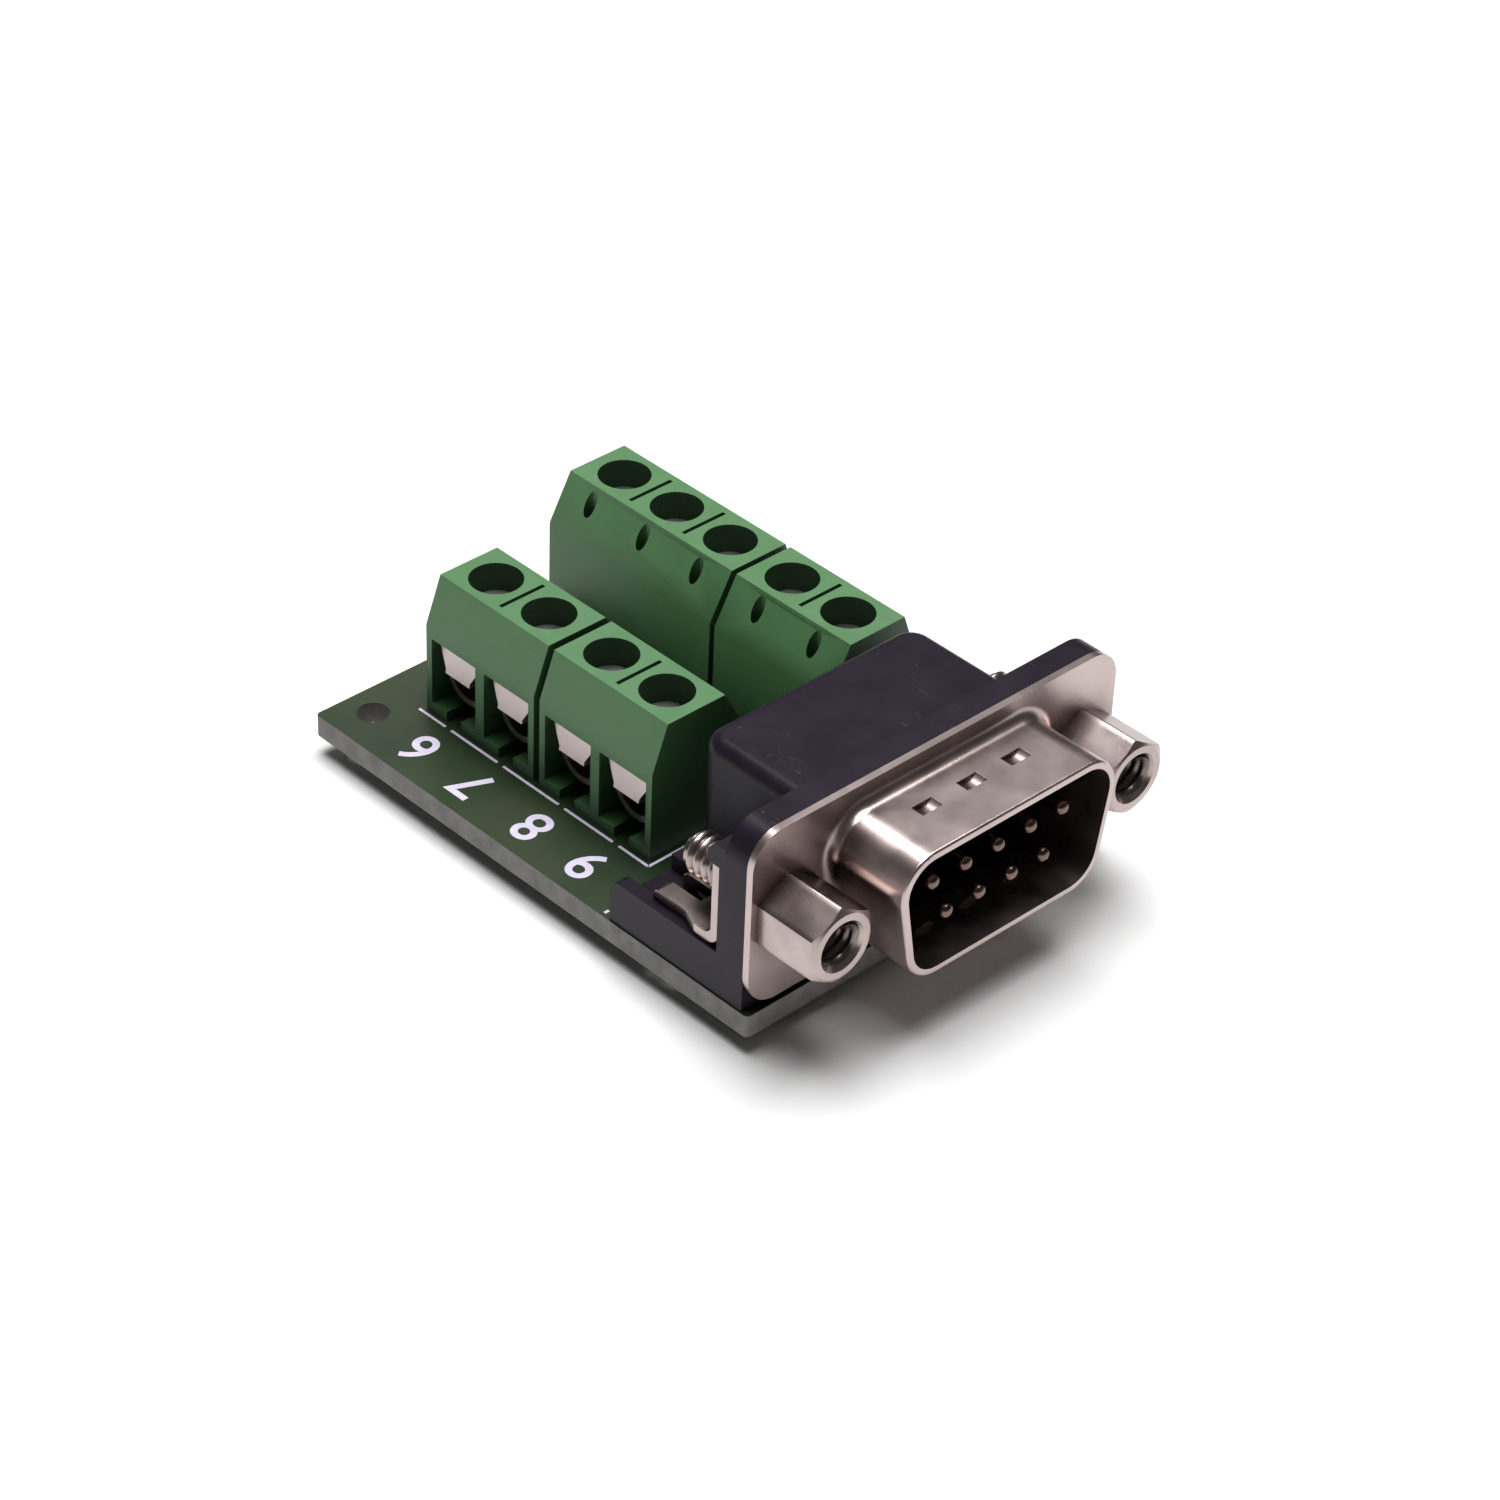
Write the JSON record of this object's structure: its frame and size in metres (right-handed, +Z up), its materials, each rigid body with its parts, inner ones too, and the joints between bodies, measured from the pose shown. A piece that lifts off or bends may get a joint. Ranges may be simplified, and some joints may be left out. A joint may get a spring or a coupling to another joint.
{
  "type": "d-sub terminal block adapter",
  "caption": "Small circuit board joining a D-shaped pin connector with jackscrews to two rows of rising-clamp screw terminals.",
  "frame": {"origin": "on the standing plane under the middle of the part, at the tips of the solder tails", "axes": "+Z up from the board; the connector's mating face points to -Y; terminals 6 to 9 face -X, terminals 1 to 5 face +X"},
  "size_m": [0.031, 0.0464, 0.0158],
  "materials": {
    "board": "green solder mask",
    "shell": "nickel plate",
    "black": "satin black",
    "contact": "gold plate",
    "jack": "nickel plate",
    "lock": "tin plate",
    "green": "moulded, satin",
    "screw": "zinc plate",
    "leaf": "tin plate",
    "cage": "tin plate",
    "solder": "bright solder"
  },
  "bodies": {
    "adapter": {"circuit_board": "board", "dsub_shell": "shell", "dsub_insulator": "black", "dsub_hood": "black", "contact_pin_1": "contact", "contact_pin_2": "contact", "contact_pin_3": "contact", "contact_pin_4": "contact", "contact_pin_5": "contact", "contact_pin_6": "contact", "contact_pin_7": "contact", "contact_pin_8": "contact", "contact_pin_9": "contact", "board_lock_left": "lock", "board_lock_right": "lock", "jackscrew_left": "jack", "jackscrew_right": "jack", "terminal_housing_1_3": "green", "terminal_housing_4_5": "green", "terminal_housing_6_7": "green", "terminal_housing_8_9": "green", "clamp_cradle_1": "cage", "clamp_cradle_2": "cage", "clamp_cradle_3": "cage", "clamp_cradle_4": "cage", "clamp_cradle_5": "cage", "clamp_cradle_6": "cage", "clamp_cradle_7": "cage", "clamp_cradle_8": "cage", "clamp_cradle_9": "cage", "solder_joints": "solder"},
    "leaf_1": {"wire_leaf_1": "leaf"},
    "screw_1": {"terminal_screw_1": "screw"},
    "leaf_2": {"wire_leaf_2": "leaf"},
    "screw_2": {"terminal_screw_2": "screw"},
    "leaf_3": {"wire_leaf_3": "leaf"},
    "screw_3": {"terminal_screw_3": "screw"},
    "leaf_4": {"wire_leaf_4": "leaf"},
    "screw_4": {"terminal_screw_4": "screw"},
    "leaf_5": {"wire_leaf_5": "leaf"},
    "screw_5": {"terminal_screw_5": "screw"},
    "leaf_6": {"wire_leaf_6": "leaf"},
    "screw_6": {"terminal_screw_6": "screw"},
    "leaf_7": {"wire_leaf_7": "leaf"},
    "screw_7": {"terminal_screw_7": "screw"},
    "leaf_8": {"wire_leaf_8": "leaf"},
    "screw_8": {"terminal_screw_8": "screw"},
    "leaf_9": {"wire_leaf_9": "leaf"},
    "screw_9": {"terminal_screw_9": "screw"}
  },
  "joints": [
    {"name": "leaf_1_lift", "type": "slide", "parent": "adapter", "child": "leaf_1", "axis": [0, 0, 1], "range_m": [-0.0005, 0.00185]},
    {"name": "screw_1_turn", "type": "hinge", "parent": "leaf_1", "child": "screw_1", "pos_m": [0.00826, 0.02012, 0.01095], "axis": [0, 0, 1], "range_deg": [-360, 1332]},
    {"name": "leaf_2_lift", "type": "slide", "parent": "adapter", "child": "leaf_2", "axis": [0, 0, 1], "range_m": [-0.0005, 0.00185]},
    {"name": "screw_2_turn", "type": "hinge", "parent": "leaf_2", "child": "screw_2", "pos_m": [0.00826, 0.01504, 0.01095], "axis": [0, 0, 1], "range_deg": [-360, 1332]},
    {"name": "leaf_3_lift", "type": "slide", "parent": "adapter", "child": "leaf_3", "axis": [0, 0, 1], "range_m": [-0.0005, 0.00185]},
    {"name": "screw_3_turn", "type": "hinge", "parent": "leaf_3", "child": "screw_3", "pos_m": [0.00826, 0.00996, 0.01095], "axis": [0, 0, 1], "range_deg": [-360, 1332]},
    {"name": "leaf_4_lift", "type": "slide", "parent": "adapter", "child": "leaf_4", "axis": [0, 0, 1], "range_m": [-0.0005, 0.00185]},
    {"name": "screw_4_turn", "type": "hinge", "parent": "leaf_4", "child": "screw_4", "pos_m": [0.00826, 0.0042, 0.01095], "axis": [0, 0, 1], "range_deg": [-360, 1332]},
    {"name": "leaf_5_lift", "type": "slide", "parent": "adapter", "child": "leaf_5", "axis": [0, 0, 1], "range_m": [-0.0005, 0.00185]},
    {"name": "screw_5_turn", "type": "hinge", "parent": "leaf_5", "child": "screw_5", "pos_m": [0.00826, -0.00088, 0.01095], "axis": [0, 0, 1], "range_deg": [-360, 1332]},
    {"name": "leaf_6_lift", "type": "slide", "parent": "adapter", "child": "leaf_6", "axis": [0, 0, 1], "range_m": [-0.0005, 0.00185]},
    {"name": "screw_6_turn", "type": "hinge", "parent": "leaf_6", "child": "screw_6", "pos_m": [-0.00607, 0.01636, 0.01095], "axis": [0, 0, 1], "range_deg": [-360, 1332]},
    {"name": "leaf_7_lift", "type": "slide", "parent": "adapter", "child": "leaf_7", "axis": [0, 0, 1], "range_m": [-0.0005, 0.00185]},
    {"name": "screw_7_turn", "type": "hinge", "parent": "leaf_7", "child": "screw_7", "pos_m": [-0.00607, 0.01128, 0.01095], "axis": [0, 0, 1], "range_deg": [-360, 1332]},
    {"name": "leaf_8_lift", "type": "slide", "parent": "adapter", "child": "leaf_8", "axis": [0, 0, 1], "range_m": [-0.0005, 0.00185]},
    {"name": "screw_8_turn", "type": "hinge", "parent": "leaf_8", "child": "screw_8", "pos_m": [-0.00607, 0.00542, 0.01095], "axis": [0, 0, 1], "range_deg": [-360, 1332]},
    {"name": "leaf_9_lift", "type": "slide", "parent": "adapter", "child": "leaf_9", "axis": [0, 0, 1], "range_m": [-0.0005, 0.00185]},
    {"name": "screw_9_turn", "type": "hinge", "parent": "leaf_9", "child": "screw_9", "pos_m": [-0.00607, 0.00034, 0.01095], "axis": [0, 0, 1], "range_deg": [-360, 1332]}
  ],
  "couplings": [
    {"joint": "screw_1_turn", "follows": "leaf_1_lift", "rad_per_m": 12566},
    {"joint": "screw_2_turn", "follows": "leaf_2_lift", "rad_per_m": 12566},
    {"joint": "screw_3_turn", "follows": "leaf_3_lift", "rad_per_m": 12566},
    {"joint": "screw_4_turn", "follows": "leaf_4_lift", "rad_per_m": 12566},
    {"joint": "screw_5_turn", "follows": "leaf_5_lift", "rad_per_m": 12566},
    {"joint": "screw_6_turn", "follows": "leaf_6_lift", "rad_per_m": 12566},
    {"joint": "screw_7_turn", "follows": "leaf_7_lift", "rad_per_m": 12566},
    {"joint": "screw_8_turn", "follows": "leaf_8_lift", "rad_per_m": 12566},
    {"joint": "screw_9_turn", "follows": "leaf_9_lift", "rad_per_m": 12566}
  ]
}
